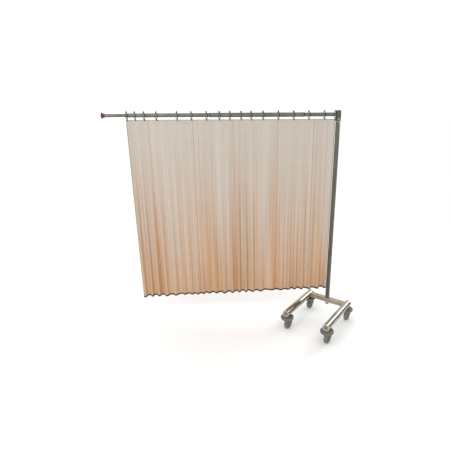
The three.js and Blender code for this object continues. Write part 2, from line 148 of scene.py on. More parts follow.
class Graph:
    """The node tree of one material, built by calls that take a node's type, settings and inputs."""

    def __init__(self, name: str) -> None:
        """Makes an empty material of that name.

        Args:
            name: the material's name.
        """
        self.material = bpy.data.materials.new(name)
        self.material.use_nodes = True
        self.tree = self.material.node_tree
        self.tree.nodes.clear()

    def node(self, kind: str, settings: dict, inputs: dict) -> bpy.types.Node:
        """Adds a node.

        Args:
            kind: the node's type.
            settings: its properties; "stops" holds a colour ramp's (place, colour) pairs.
            inputs: values or wires, by socket name or number.

        Returns:
            The node.
        """
        node = self.tree.nodes.new(kind)
        for key, value in settings.items():
            if key == "stops":
                elements = node.color_ramp.elements
                while len(elements) < len(value):
                    elements.new(1.0)
                for element, (place, colour) in zip(elements, value):
                    element.position = place
                    element.color = (*colour, 1.0)
            else:
                setattr(node, key, value)
        for key, value in inputs.items():
            if isinstance(value, Wire):
                self.tree.links.new(value.socket, node.inputs[key])
            else:
                node.inputs[key].default_value = value
        return node

    def add(self, kind: str, settings: dict, inputs: dict, output: Union[int, str] = 0) -> Wire:
        """Adds a node and returns one of its outputs as a wire."""
        return Wire(self, self.node(kind, settings, inputs).outputs[output])

    def place(self) -> Wire:
        """The point's place on the object, in metres."""
        return self.add("ShaderNodeTexCoord", {}, {}, "Object")

    def stretched(self, scale: tuple[float, float, float], vector: Optional[Wire] = None) -> Wire:
        """A place scaled along each axis, so that a pattern is drawn out along the smallest one.

        Args:
            scale: the factor along each axis.
            vector: the place, or None for the surface's own.

        Returns:
            The scaled place.
        """
        return self.add(
            "ShaderNodeVectorMath", {"operation": "MULTIPLY"}, {0: vector or self.place(), 1: scale}
        )

    def noise(self, vector: Wire, scale: float, detail: float = 3.0, roughness: float = 0.55) -> Wire:
        """Noise between 0 and 1 at that scale, in features for each metre.

        Args:
            vector: where the noise is read.
            scale: features for each metre.
            detail: number of finer layers.
            roughness: strength of the finer layers.

        Returns:
            The noise.
        """
        return self.add(
            "ShaderNodeTexNoise",
            {},
            {"Vector": vector, "Scale": scale, "Detail": detail, "Roughness": roughness},
        )

    def blend(self, share: Number, first: Union[tuple, Wire], second: Union[tuple, Wire]) -> Wire:
        """A colour between two colours.

        Args:
            share: 0 for the first colour, 1 for the second.
            first: the first colour.
            second: the second colour.

        Returns:
            The mixed colour.
        """
        wide = [c if isinstance(c, Wire) else (*c, 1.0) for c in (first, second)]
        node = self.node(
            "ShaderNodeMix", {"data_type": "RGBA"}, {"Factor": share, 6: wide[0], 7: wide[1]}
        )
        return Wire(self, node.outputs[2])

    def bump(self, height: Wire, strength: float, distance: float) -> Wire:
        """A surface normal raised by a height, whose full range is distance metres.

        Args:
            height: the height, from 0 to 1.
            strength: how strongly it shows.
            distance: its full range, in metres.

        Returns:
            The normal.
        """
        return self.add(
            "ShaderNodeBump", {}, {"Height": height, "Strength": strength, "Distance": distance}
        )

    def finish(self, **inputs: Union[float, tuple, Wire]) -> bpy.types.Material:
        """Ends the graph in one surface shader.

        Args:
            inputs: its sockets, with "_" for a space in a name.

        Returns:
            The material.
        """
        sockets = {key.replace("_", " "): value for key, value in inputs.items()}
        for key, value in sockets.items():
            if isinstance(value, tuple) and len(value) == 3:
                sockets[key] = (*value, 1.0)
        shader = self.node("ShaderNodeBsdfPrincipled", {}, sockets)
        output = self.node("ShaderNodeOutputMaterial", {}, {})
        self.tree.links.new(shader.outputs[0], output.inputs["Surface"])
        return self.material


# ---- finishes ------------------------------------------------------------------------------------
class Grain(Enum):
    """The line along which a tube was drawn and polished."""

    ALONG_X = (0.03, 1.0, 1.0)
    ALONG_Z = (1.0, 1.0, 0.03)
    ROUND = (1.0, 1.0, 1.0)


@dataclass(frozen=True)
class Metal:
    """Bare or plated metal: drawn lines, cloudy handling marks and duller spots.

    Attributes:
        name: the material's name.
        bright: colour of the clean metal.
        dull: colour where it is stained.
        roughness: of the clean metal.
        spread: how much rougher the stained metal is.
        grain: the line along which it was drawn.
        metallic: how much of it shines as metal.
        lines: height of the drawn lines, in metres.
    """

    name: str
    bright: tuple[float, float, float]
    dull: tuple[float, float, float]
    roughness: float
    spread: float
    grain: Grain = Grain.ROUND
    metallic: float = 1.0
    lines: float = 4e-6

    def material(self) -> bpy.types.Material:
        """The metal's material.

        Returns:
            The material.
        """
        graph = Graph(self.name)
        drawn = graph.noise(graph.stretched(self.grain.value), 2600.0, 2.0)
        clouds = graph.noise(graph.place(), 14.0, 4.0)
        marks = graph.noise(graph.stretched(self.grain.value), 90.0, 3.0)
        stain = ((clouds * 0.6 + marks * 0.4 - 0.42) * 4.0).clamped()
        colour = graph.blend(stain, self.bright, self.dull)
        rough = self.roughness + stain * self.spread + (drawn - 0.5) * 0.08
        return graph.finish(
            Base_Color=colour,
            Metallic=self.metallic,
            Roughness=rough,
            Normal=graph.bump(drawn, 0.35, self.lines),
        )


@dataclass(frozen=True)
class Moulded:
    """Moulded plastic or rubber: a fine pebbled skin, with scuffs and dust laid in cloudy patches.

    Attributes:
        name: the material's name.
        body: colour of the plastic.
        dusty: colour where it is scuffed or dusty.
        roughness: of the clean plastic.
        pebble: width of one grain of the skin, in metres.
        depth: height of the grain, in metres.
        dust: how much of the surface is dusty, from 0 to 1.
        coat: weight of a clear gloss on top.
    """

    name: str
    body: tuple[float, float, float]
    dusty: tuple[float, float, float]
    roughness: float
    pebble: float = 0.0007
    depth: float = 2e-5
    dust: float = 0.5
    coat: float = 0.0

    def material(self) -> bpy.types.Material:
        """The plastic's material.

        Returns:
            The material.
        """
        graph = Graph(self.name)
        place = graph.place()
        skin = graph.noise(place, 1.0 / self.pebble, 2.0, 0.6)
        scuffs = graph.noise(graph.stretched((1.0, 1.0, 0.25)), 160.0, 4.0, 0.65)
        clouds = graph.noise(place, 24.0, 3.0)
        dusty = ((scuffs * 0.45 + clouds * 0.55 - (0.62 - 0.2 * self.dust)) * 3.5).clamped()
        share = dusty * self.dust
        return graph.finish(
            Base_Color=graph.blend(share, self.body, self.dusty),
            Roughness=self.roughness + share * 0.2 + (skin - 0.5) * 0.1,
            Normal=graph.bump(skin, 0.5, self.depth),
            Coat_Weight=self.coat,
            Coat_Roughness=0.12,
            IOR=1.48,
        )


@dataclass(frozen=True)
class Cloth:
    """Light woven curtain cloth, more orange towards the hem; its pale hollows and orange ridges are painted
    light, the glow of light through the folds.

    Attributes:
        name: the material's name.
        hollow: colours of the hollows, pale as painted light, as (fall, colour) pairs from the heading to the
            hem.
        ridge: colours of the ridges, a painted orange glow of light through the cloth, in the same way.
        seam: colour of a sewn seam.
        edge: colour of the side hems.
        thread: distance between two threads, in metres.
        depth: height of a thread, in metres.
    """

    name: str
    hollow: tuple[tuple[float, tuple[float, float, float]], ...]
    ridge: tuple[tuple[float, tuple[float, float, float]], ...]
    seam: tuple[float, float, float]
    edge: tuple[float, float, float]
    thread: float = 0.0011
    depth: float = 1.2e-4

    def material(self) -> bpy.types.Material:
        """The cloth's material; it reads the attributes "flat", "fold", "drop", "seam" and "edge".

        Returns:
            The material.
        """
        graph = Graph(self.name)
        flat = graph.add("ShaderNodeAttribute", {"attribute_name": "flat"}, {}, "Vector")
        fold, drop, seam, edge = (
            graph.add("ShaderNodeAttribute", {"attribute_name": name}, {}, "Fac")
            for name in ("fold", "drop", "seam", "edge")
        )
        split = graph.node("ShaderNodeSeparateXYZ", {}, {"Vector": flat})
        turn = 2.0 * math.pi / self.thread
        warp = (Wire(graph, split.outputs[0]) * turn).sine()
        weft = (Wire(graph, split.outputs[1]) * turn).sine()
        weave = warp * weft * 0.5 + 0.5
        slubs = graph.noise(graph.stretched((900.0, 8.0, 1.0), flat), 1.0, 2.0)
        creases = graph.noise(graph.stretched((2.0, 130.0, 1.0), flat), 1.0, 3.0)
        broad = graph.noise(graph.stretched((11.0, 0.35, 1.0), flat), 1.0, 2.0, 0.5)
        narrow = graph.noise(graph.stretched((70.0, 0.5, 1.0), flat), 1.0, 2.0, 0.55)
        # Painted light: the hollow ramp is the pale backs of the folds and the ridge ramp an orange glow of
        # light through the cloth; both grow more orange towards the hem.
        hollow, ridge = (
            graph.add("ShaderNodeValToRGB", {"stops": stops}, {"Fac": drop})
            for stops in (self.hollow, self.ridge)
        )
        # Painted light: the share from hollow to ridge colour places the painted glow on the fronts of the
        # folds and in vertical noise streaks.
        stripes = (broad - 0.5) * 2.0 + (narrow - 0.5) * (drop * 3.2 + 1.0)
        share = (fold - 0.5) * (0.3 + drop * 0.5) + stripes + 0.42
        body = graph.blend(share.clamped(), hollow, ridge)
        sewn = graph.blend((seam * (drop * 0.5 + 0.5)).clamped(), body, self.seam)
        bound = graph.blend(edge * 0.85, sewn, self.edge)
        threads = ((slubs * 0.35 + creases * 0.5 + weave * 0.15 - 0.5) * 2.0 + 0.5).clamped()
        paler = graph.blend(0.12, bound, (1.0, 0.98, 0.95))
        return graph.finish(
            Base_Color=graph.blend(threads, bound, paler),
            Roughness=0.85 + (slubs - 0.5) * 0.1,
            Normal=graph.bump(weave * 0.6 + slubs * 0.4, 0.35, self.depth),
            Sheen_Weight=0.08,
            Sheen_Roughness=0.5,
            IOR=1.4,
        )


class Finish(Enum):
    """Every finish on the screen, by the record's material slot where it has one."""

    arm_tube = Metal("arm_tube", (0.185, 0.183, 0.15), (0.125, 0.125, 0.10), 0.42, 0.12, Grain.ALONG_X)
    mast_steel = Metal("mast_steel", (0.14, 0.131, 0.108), (0.098, 0.092, 0.076), 0.42, 0.1, Grain.ALONG_Z)
    leg_chrome = Metal("leg_chrome", (0.36, 0.34, 0.275), (0.30, 0.275, 0.22), 0.2, 0.05, lines=1e-6)
    crossbar_steel = Metal("crossbar_steel", (0.42, 0.36, 0.27), (0.32, 0.265, 0.195), 0.34, 0.1)
    zinc = Metal("zinc", (0.42, 0.41, 0.36), (0.28, 0.27, 0.24), 0.32, 0.18)
    # Pale rim colour: a painted highlight for the light that the leg plug's rim catches.
    plug_rim = Moulded("plug_rim", (0.62, 0.59, 0.5), (0.7, 0.67, 0.6), 0.35)
    plug_plastic = Moulded("plug_plastic", (0.26, 0.21, 0.15), (0.36, 0.3, 0.22), 0.45)
    caster_plastic = Moulded("caster_plastic", (0.12, 0.124, 0.098), (0.21, 0.21, 0.172), 0.45, dust=0.7)
    caster_wheel = Moulded("caster_wheel", (0.15, 0.152, 0.122), (0.26, 0.255, 0.21), 0.6, 0.0009, dust=0.8)
    ring_plastic = Moulded("ring_plastic", (0.012, 0.013, 0.011), (0.04, 0.04, 0.035), 0.42, dust=0.4)
    bush_plastic = Moulded("bush_plastic", (0.03, 0.031, 0.027), (0.09, 0.09, 0.08), 0.5, dust=0.4)
    knob_plastic = Moulded("knob_plastic", (0.11, 0.01, 0.02), (0.2, 0.05, 0.065), 0.3, coat=0.3)
    curtain_cloth = Cloth(
        "curtain_cloth",
        # Hollow then ridge colours: the pale hollows and orange ridges are painted light, the glow through
        # the cloth's folds.
        ((0.0, (0.485, 0.447, 0.392)), (0.25, (0.48, 0.428, 0.37)), (0.5, (0.482, 0.40, 0.334)),
         (0.67, (0.485, 0.387, 0.306)), (1.0, (0.51, 0.345, 0.218))),
        ((0.0, (0.425, 0.37, 0.318)), (0.25, (0.415, 0.317, 0.243)), (0.5, (0.417, 0.269, 0.165)),
         (0.67, (0.445, 0.245, 0.105)), (1.0, (0.50, 0.23, 0.072))),
        (0.42, 0.16, 0.05), (0.10, 0.07, 0.058),
    )
    binding = Moulded("binding", (0.03, 0.019, 0.014), (0.08, 0.055, 0.042), 0.8, 0.0009, 6e-5)

    def material(self) -> bpy.types.Material:
        """The finish's material, made once.

        Returns:
            The material.
        """
        found = bpy.data.materials.get("finish_" + self.name)
        if found is None:
            found = self.value.material()
            found.name = "finish_" + self.name
        return found


# ---- mesh helpers --------------------------------------------------------------------------------
def mesh_object(name: str, verts: Iterable, faces: Iterable, finish: Finish) -> bpy.types.Object:
    """Makes an object from vertices and faces.

    Args:
        name: the object's name.
        verts: points, in metres.
        faces: corner numbers of each face.
        finish: the finish it is dressed in.

    Returns:
        The object, smooth, and linked to the scene.
    """
    mesh = bpy.data.meshes.new(name)
    mesh.from_pydata([tuple(v) for v in verts], [], [tuple(f) for f in faces])
    mesh.validate()
    mesh.polygons.foreach_set("use_smooth", [True] * len(mesh.polygons))
    obj = bpy.data.objects.new(name, mesh)
    bpy.context.scene.collection.objects.link(obj)
    obj.data.materials.append(finish.material())
    return obj


def lathe(profile: Profile, sides: int = 64) -> tuple[list[Vector], list[tuple[int, ...]]]:
    """Turns a profile about the Z axis.

    Args:
        profile: (radius, height) points, in metres; one on the axis closes that end, and a
            profile that ends where it began is a ring.
        sides: steps round the axis.

    Returns:
        Vertices and faces.
    """
    loop = profile[0] == profile[-1]
    points = list(profile[:-1] if loop else profile)
    verts: list[Vector] = []
    rows: list[list[int]] = []
    for radius, height in points:
        if radius < 1e-7:
            rows.append([len(verts)] * sides)
            verts.append(Vector((0, 0, height)))
            continue
        rows.append(list(range(len(verts), len(verts) + sides)))
        for step in range(sides):
            angle = 2 * math.pi * step / sides
            verts.append(Vector((radius * math.cos(angle), radius * math.sin(angle), height)))
    faces: list[tuple[int, ...]] = []
    pairs = list(zip(rows, rows[1:] + rows[:1])) if loop else list(zip(rows, rows[1:]))
    for low, high in pairs:
        for step in range(sides):
            ahead = (step + 1) % sides
            corners = (low[step], low[ahead], high[ahead], high[step])
            face = tuple(dict.fromkeys(corners))
            if len(face) > 2:
                faces.append(face)
    return verts, faces


def rounded(profile: Profile, radius: float, steps: int = 3) -> list[tuple[float, float]]:
    """Rounds the corners of a profile with short curves.

    Args:
        profile: (radius, height) points; the first and last stay as they are.
        radius: how far from a corner its curve begins.
        steps: points along each curve.

    Returns:
        The rounded profile.
    """
    points = [Vector(p) for p in profile]
    loop = tuple(profile[0]) == tuple(profile[-1])
    core = points[:-1] if loop else points
    count = len(core)
    result: list[tuple[float, float]] = []
    for i, point in enumerate(core):
        if not loop and i in (0, count - 1):
            result.append(tuple(point))
            continue
        before, after = core[i - 1] - point, core[(i + 1) % count] - point
        reach = min(radius, before.length * 0.45, after.length * 0.45)
        start, end = point + before.normalized() * reach, point + after.normalized() * reach
        for step in range(steps + 1):
            t = step / steps
            curve = start.lerp(point, t).lerp(point.lerp(end, t), t)
            result.append(tuple(curve))
    if loop:
        result.append(result[0])
    return result


def sweep(path: Sequence[Vector], radius: Union[float, Sequence[float]], sides: int = 12) -> Part:
    """A round bar along a path, closed at both ends.

    Args:
        path: points in metres.
        radius: of the bar, one for all points or one for each.
        sides: steps round the bar.

    Returns:
        Vertices and faces.
    """
    radii = [radius] * len(path) if isinstance(radius, float) else list(radius)
    ring_of: list[list[int]] = []
    verts: list[Vector] = []
    normal = Vector((0.0, 0.0, 1.0))
    for i, point in enumerate(path):
        tangent = (path[min(i + 1, len(path) - 1)] - path[max(i - 1, 0)]).normalized()
        side = tangent.cross(normal)
        if side.length < 1e-4:
            side = tangent.cross(Vector((1.0, 0.0, 0.0)))
        side.normalize()
        normal = side.cross(tangent).normalized()
        ring_of.append(list(range(len(verts), len(verts) + sides)))
        for step in range(sides):
            angle = 2 * math.pi * step / sides
            verts.append(point + radii[i] * (math.cos(angle) * side + math.sin(angle) * normal))
    faces = [tuple(reversed(ring_of[0])), tuple(ring_of[-1])]
    for low, high in zip(ring_of, ring_of[1:]):
        for step in range(sides):
            ahead = (step + 1) % sides
            faces.append((low[step], low[ahead], high[ahead], high[step]))
    return verts, faces


def torus(radius: float, wire: float, steps: int = 72, sides: int = 16) -> Part:
    """A ring of round wire about the Z axis.

    Args:
        radius: radius of the wire's centre line.
        wire: half the wire's thickness.
        steps: sides round the ring.
        sides: sides round the wire.

    Returns:
        Its vertices and faces.
    """
    turns = [2 * math.pi * i / sides for i in range(sides)]
    section = [(radius + wire * math.cos(a), wire * math.sin(a)) for a in turns]
    return lathe(section + section[:1], steps)


def plate(outline: Sequence[tuple[float, float]], low: float, high: float) -> Part:
    """A flat plate: an outline in the XZ plane, with its two faces at Y = low and Y = high.

    Args:
        outline: its corners as X and Z.
        low: Y of one face.
        high: Y of the other face.

    Returns:
        Its vertices and faces.
    """
    count = len(outline)
    verts = [Vector((x, y, z)) for y in (low, high) for x, z in outline]
    faces: list[tuple[int, ...]] = [tuple(range(count)), tuple(range(2 * count - 1, count - 1, -1))]
    for i in range(count):
        ahead = (i + 1) % count
        faces.append((ahead, i, count + i, count + ahead))
    return verts, faces


def merged(*parts: Part) -> Part:
    """Several vertex and face lists as one.

    Args:
        parts: the lists to join.

    Returns:
        The joined vertices and faces.
    """
    verts: list = []
    faces: list = []
    for part_verts, part_faces in parts:
        start = len(verts)
        verts.extend(part_verts)
        faces.extend(tuple(start + i for i in face) for face in part_faces)
    return verts, faces


def moved(part: Part, matrix: Matrix) -> Part:
    """A vertex and face list moved by a matrix."""
    return [matrix @ Vector(v) for v in part[0]], part[1]


def soften(obj: bpy.types.Object, width: float, angle: float = 35.0, steps: int = 3) -> None:
    """Rounds an object's sharp edges with a bevel and evens its shading.

    Args:
        obj: the object.
        width: width of the bevel, in metres.
        angle: smallest angle of an edge that counts as sharp, in degrees.
        steps: faces across the bevel.
    """
    bevel = obj.modifiers.new("edges", "BEVEL")
    bevel.width = width
    bevel.segments = steps
    bevel.limit_method = "ANGLE"
    bevel.angle_limit = math.radians(angle)
    bevel.harden_normals = True
    bevel.miter_outer = "MITER_ARC"


def outward(obj: bpy.types.Object) -> None:
    """Turns every face of a closed mesh to point out.

    Args:
        obj: the object.
    """
    work = bmesh.new()
    work.from_mesh(obj.data)
    bmesh.ops.remove_doubles(work, verts=work.verts, dist=1e-7)
    bmesh.ops.recalc_face_normals(work, faces=work.faces)
    work.to_mesh(obj.data)
    work.free()


def carve(obj: bpy.types.Object, *tools: Part) -> None:
    """Cuts closed shapes out of an object and applies the cut.

    Args:
        obj: the object.
        tools: the shapes to cut away.
    """
    for i, (verts, faces) in enumerate(tools):
        cutter = mesh_object(f"{obj.name}_cutter_{i}", verts, faces, Finish.zinc)
        outward(cutter)
        cut = obj.modifiers.new("cut", "BOOLEAN")
        cut.operation = "DIFFERENCE"
        cut.solver = "EXACT"
        cut.object = cutter
        shape = bpy.data.meshes.new_from_object(obj.evaluated_get(bpy.context.evaluated_depsgraph_get()))
        obj.modifiers.clear()
        obj.data = shape
        bpy.data.objects.remove(cutter)


def circle(centre: tuple[float, float], radius: float, start: float, end: float, steps: int) -> list:
    """Points along an arc, with its angles in degrees."""
    angles = [math.radians(start + (end - start) * i / steps) for i in range(steps + 1)]
    return [(centre[0] + radius * math.cos(a), centre[1] + radius * math.sin(a)) for a in angles]


# ---- where things are ----------------------------------------------------------------------------
@dataclass
class Frame:
    """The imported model, with the places that the sub-assemblies ask for."""

    data: dict

    def joint(self, name: str) -> Vector:
        """The place of a joint at rest."""
        found = next(j for j in self.data["joints"] if j["name"] == name)
        return Vector(found["pos_m"])

    def middle(self, node: str) -> Vector:
        """The centre of a node's box."""
        low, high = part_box(node)
        return (low + high) / 2

    def size(self, node: str) -> Vector:
        """The size of a node's box."""
        low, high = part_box(node)
        return high - low

    def node(self, name: str) -> bpy.types.Object:
        """A node's object."""
        return self.data["nodes"][name]

    @property
    def mast(self) -> Vector:
        """The mast's axis, at floor height."""
        centre = self.middle("swivel_head")
        return Vector((centre.x, centre.y, 0.0))


# ---- studio --------------------------------------------------------------------------------------
@dataclass
class Studio:
    """Floor, light and camera.

    Attributes:
        eye: camera place from the mast's foot, in metres.
        pitch: how far the camera looks down, in radians.
        turn: how far it looks to the right, in radians.
        roll: its tilt, in radians.
        focal: focal length as a share of the picture's width.
        shift: shift of the picture's middle, as shares of its width.
        sky: strength of the white surroundings.
        wall: brightness of the darker wall on the right, which gives metal its dark lines.
        wall_from: where that wall begins, as the cosine of its bearing from +X.
        wall_to: where it is darkest.
    """

    frame: Frame
    eye: tuple[float, float, float] = (-0.7195, -3.035, 1.859)
    pitch: float = 0.2959
    turn: float = 0.0067
    roll: float = -0.0055
    focal: float = 0.8115
    shift: tuple[float, float] = (-0.0561, -0.0134)
    sky: float = 1.15
    wall: float = 0.25
    wall_from: float = 0.66
    wall_to: float = 0.88

    def camera(self) -> None:
        """Places the camera."""
        ahead = Vector((
            math.sin(self.turn) * math.cos(self.pitch),
            math.cos(self.turn) * math.cos(self.pitch),
            -math.sin(self.pitch),
        ))
        level = Vector((math.cos(self.turn), -math.sin(self.turn), 0.0))
        above = level.cross(ahead)
        right = math.cos(self.roll) * level + math.sin(self.roll) * above
        up = -math.sin(self.roll) * level + math.cos(self.roll) * above
        data = bpy.data.cameras.new("camera")
        data.sensor_width = 36.0
        data.lens = self.focal * data.sensor_width
        data.shift_x, data.shift_y = self.shift
        data.clip_end = 200.0
        camera = bpy.data.objects.new("camera", data)
        turn = Matrix((right, up, -ahead)).transposed().to_4x4()
        camera.matrix_world = Matrix.Translation(self.frame.mast + Vector(self.eye)) @ turn
        bpy.context.scene.collection.objects.link(camera)
        bpy.context.scene.camera = camera

    def floor(self) -> None:
        """Lays a large pale floor."""
        reach = 60.0
        verts = [(x, y, 0.0) for x, y in ((-reach, -reach), (reach, -reach), (reach, reach), (-reach, reach))]
        mesh = bpy.data.meshes.new("floor")
        mesh.from_pydata(verts, [], [(0, 1, 2, 3)])
        floor = bpy.data.objects.new("floor", mesh)
        bpy.context.scene.collection.objects.link(floor)
        graph = Graph("floor")
        tone = graph.noise(graph.place(), 3.0, 4.0)
        pale = graph.blend(tone, (0.93, 0.93, 0.927), (0.95, 0.95, 0.947))
        mesh.materials.append(graph.finish(Base_Color=pale, Roughness=0.9))

    def light(self, name: str, place: tuple, power: float, size: float) -> None:
        """Hangs one square soft light that faces the middle of the curtain.

        Args:
            name: the light's name.
            place: its place from the mast's foot, in metres.
            power: its power, in watts.
            size: length of its side, in metres.
        """
        data = bpy.data.lights.new(name, "AREA")
        data.energy = power
        data.size = size
        light = bpy.data.objects.new(name, data)
        light.location = self.frame.mast + Vector(place)
        aim = self.frame.mast + Vector((-0.8, 0.0, 0.9)) - light.location
        light.rotation_euler = aim.to_track_quat("-Z", "Y").to_euler()
        bpy.context.scene.collection.objects.link(light)

    def build(self) -> None:
        """Sets up the whole studio."""
        self.camera()
        self.floor()
        self.light("key", (-3.0, -3.0, 3.2), 34.0, 0.8)
        self.light("strip", (2.3, 1.5, 2.2), 24.0, 1.0)
        world = bpy.data.worlds.new("studio")
        world.use_nodes = True
        nodes, links = world.node_tree.nodes, world.node_tree.links
        way = nodes.new("ShaderNodeTexCoord")
        split = nodes.new("ShaderNodeSeparateXYZ")
        ramp = nodes.new("ShaderNodeValToRGB")
        ramp.color_ramp.elements[0].position = self.wall_from
        ramp.color_ramp.elements[0].color = (1.0, 1.0, 1.0, 1.0)
        ramp.color_ramp.elements[1].position = self.wall_to
        ramp.color_ramp.elements[1].color = (self.wall, self.wall, self.wall, 1.0)
        links.new(way.outputs["Generated"], split.inputs[0])
        links.new(split.outputs[0], ramp.inputs[0])
        links.new(ramp.outputs[0], nodes["Background"].inputs["Color"])
        nodes["Background"].inputs["Strength"].default_value = self.sky
        bpy.context.scene.world = world
        bpy.context.scene.view_settings.view_transform = "Standard"


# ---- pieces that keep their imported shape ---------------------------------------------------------
@dataclass
class KeptPieces:
    """Tubes, bars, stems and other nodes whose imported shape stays, with soft edges and a finish.

    Attributes:
        weld: distance within which split corners join again, in metres.
        edge: width of the rounding on their edges, in metres.
    """

    frame: Frame
    weld: float = 2e-5
    edge: float = 0.0005
    kept: tuple[str, ...] = (
        "leg_left", "leg_right", "crossbar", "mast_tube", "mast_foot_plug", "pivot_spigot",
        "arm_tube_root", "arm_sleeve", "arm_tube_mid", "arm_tube_tip",
        "sleeve_bush_root", "sleeve_bush_tip", "mid_bush", "swivel_head",
        *(f"caster_stem_{corner}" for corner in CORNERS),
        *(f"caster_axle_{corner}" for corner in CORNERS),
    )

    def build(self) -> None:
        """Dresses every kept node."""
        slots = {row["node"]: row["material_slot"] for row in self.frame.data["record"]["subparts"]}
        for name in self.kept:
            obj = self.frame.node(name)
            obj.data.materials.clear()
            obj.data.materials.append(Finish[slots[name]].material())
            obj.data.polygons.foreach_set("use_smooth", [True] * len(obj.data.polygons))
            if obj.data.has_custom_normals:
                obj.data.attributes.remove(obj.data.attributes["custom_normal"])
            join = obj.modifiers.new("weld", "WELD")
            join.merge_threshold = self.weld
            soften(obj, self.edge, 32.0, 2)
            LOG.info("kept %s", name)


# ---- turned pieces -------------------------------------------------------------------------------
@dataclass
class TurnedPieces:
    """End knob, head cap, mast bolt, leg plugs and lock knob: pieces that are round about an axis."""

    frame: Frame

    def put(self, name: str, node: str, part: Part, finish: Finish, body: str) -> bpy.types.Object:
        """Makes a piece that stands for a node.

        Args:
            name: the piece's name.
            node: the node that it replaces, or an empty name when another piece replaces it.
            part: vertices and faces, in place.
            finish: its finish.
            body: the body that it rides on.

        Returns:
            The piece.
        """
        obj = mesh_object(name, *part, finish)
        outward(obj)
        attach(obj, body)
        if node:
            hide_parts(node)
        LOG.info("made %s", name)
        return obj

    def end_knob(self) -> None:
        """The flared red knob on the arm's tip, hollow at the back, with a dished face."""
        low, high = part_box("end_knob")
        length = high.x - low.x
        rim = (high.z - low.z) / 2
        neck = 0.64 * rim
        tube = self.frame.size("arm_tube_tip").z / 2 + 0.3 * MM
        dish = 0.76 * rim
        profile = rounded(
            [
                (tube, 0.0), (neck - 1 * MM, 0.0), (neck, 1.5 * MM), (neck + 0.6 * MM, 0.35 * length),
                (0.78 * rim, 0.62 * length), (rim - 1 * MM, length - 6 * MM), (rim, length - 4 * MM),
                (rim, length - 2.4 * MM), (dish, length), (dish - 3 * MM, length),
                (0.0, length - 1.5 * MM), (0.0, length - 10 * MM), (tube, length - 10 * MM), (tube, 0.0),
            ],
            1.2 * MM,
        )
        middle = self.frame.middle("end_knob")
        matrix = Matrix.Translation((high.x, middle.y, middle.z)) @ Matrix.Rotation(-math.pi / 2, 4, "Y")
        part = moved(lathe(profile, 72), matrix)
        self.put("end_knob_fine", "end_knob", part, Finish.knob_plastic, "tip_arm")

    def head_cap(self) -> None:
        """The domed cap on the swivel head."""
        low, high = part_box("head_cap")
        radius, rise = (high.x - low.x) / 2, high.z - low.z
        dome = [(radius - rise + rise * math.cos(a), 2 * MM + (rise - 2 * MM) * math.sin(a))
                for a in np.linspace(0.0, math.pi / 2, 10)]
        profile = [(0.0, 0.0), (radius - 0.4 * MM, 0.0), (radius, 0.4 * MM), *dome, (0.0, rise)]
        middle = self.frame.middle("head_cap")
        part = moved(lathe(profile, 64), Matrix.Translation((middle.x, middle.y, low.z)))
        self.put("head_cap_fine", "head_cap", part, Finish.mast_steel, "head")

    def mast_bolt(self) -> None:
        """The clamp nut under the crossbar: a washer, a domed nut and its bolt."""
        low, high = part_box("mast_bolt")
        middle = self.frame.middle("mast_bolt")
        radius = (high.y - low.y) / 2
        nut, hole = 27 * MM, 5.3 * MM
        under = nut - 2.4 * MM
        washer = [(hole, under), (radius, under), (radius, nut), (hole, nut), (hole, under)]
        washer = rounded(washer, 0.5 * MM)
        dome = [(0.0, 0.0)] + circle((radius * 0.42, radius * 0.42), radius * 0.42, -90, 0, 8)
        body = [*dome, (radius * 0.84, nut - 2.5 * MM), (5.0 * MM, nut - 2.5 * MM),
                (5.0 * MM, high.z - low.z - 0.8 * MM), (4.2 * MM, high.z - low.z), (0.0, high.z - low.z)]
        part = merged(lathe(washer, 48), lathe(body, 48))
        part = moved(part, Matrix.Translation((middle.x, middle.y, low.z)))
        self.put("mast_bolt_fine", "mast_bolt", part, Finish.zinc, "base")

    def leg_plugs(self) -> None:
        """The end plug of each leg: a rim, a shallow dish and a domed screw."""
        for corner in CORNERS:
            node = "leg_plug_" + corner
            leg = self.frame.middle("leg_" + corner.split("_")[1])
            plug = self.frame.middle(node)
            out = Vector((plug.x - leg.x, plug.y - leg.y, 0.0)).normalized()
            low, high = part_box(node)
            radius = (high.z - low.z) / 2
            depth, flange = 14 * MM, 4 * MM
            inner, bore, sunk = radius - 4.2 * MM, radius - 2.8 * MM, -1 * MM
            rim = rounded([(inner, sunk), (bore, sunk), (bore, 0.0), (radius, 0.0), (radius, flange),
                           (inner + 1 * MM, flange), (inner, flange - 1 * MM), (inner, sunk)], 1.0 * MM)
            dish = rounded([(0.0, -depth), (radius - 4 * MM, -depth), (radius - 4 * MM, -1.2 * MM),
                            (inner - 0.1 * MM, -1.2 * MM), (inner - 0.1 * MM, flange - 1.4 * MM),
                            (9 * MM, flange - 1.8 * MM), (7.5 * MM, flange - 3 * MM), (0.0, flange - 3 * MM)],
                           1.0 * MM)
            head, seated = 7.3 * MM, flange - 3.2 * MM
            screw = rounded([(0.0, seated), (head, seated), (head, flange - 2.4 * MM),
                             (4.6 * MM, flange - 0.9 * MM), (0.0, flange - 0.6 * MM)], 0.4 * MM)
            half_length = abs((plug - leg).dot(out)) + (depth + flange) / 2
            seat = leg + out * (half_length - flange)
            matrix = Matrix.Translation(seat) @ out.to_track_quat("Z", "Y").to_matrix().to_4x4()
            # The rim's pale finish is a painted highlight.
            for name, shape, finish in (("dish", dish, Finish.plug_plastic), ("rim", rim, Finish.plug_rim),
                                        ("screw", screw, Finish.bush_plastic)):
                part = moved(lathe(shape, 64), matrix)
                self.put(f"leg_{name}_{corner}", node if name == "dish" else "", part, finish, "base")

